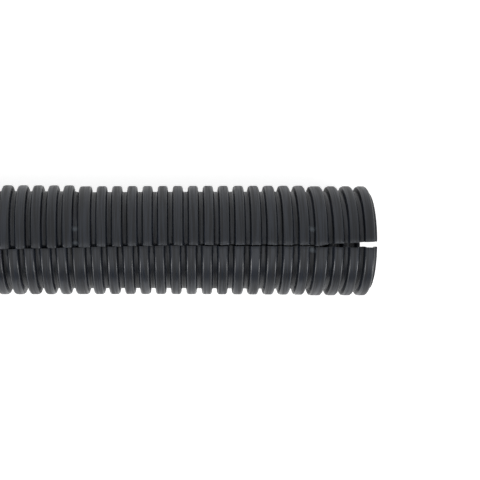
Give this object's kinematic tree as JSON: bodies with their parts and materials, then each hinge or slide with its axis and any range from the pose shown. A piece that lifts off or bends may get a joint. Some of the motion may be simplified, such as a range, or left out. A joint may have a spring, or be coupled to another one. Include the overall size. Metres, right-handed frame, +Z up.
{
  "type": "corrugated conduit",
  "caption": "Split corrugated plastic conduit, a straight cut length that sleeves and protects a bundle of cables laid in through its lengthwise slit.",
  "frame": {"origin": "middle of the length, at the level that the sleeve lies on, straight below its axis", "axes": "+X along the sleeve towards the end where the lips of the slit stand apart, +Y across it, +Z up, through the slit"},
  "size_m": [0.5, 0.0254, 0.0255],
  "materials": {
    "conduit": "satin, black polyamide or polypropylene as moulded"
  },
  "bodies": {
    "root": {"conduit": "conduit"}
  },
  "joints": []
}
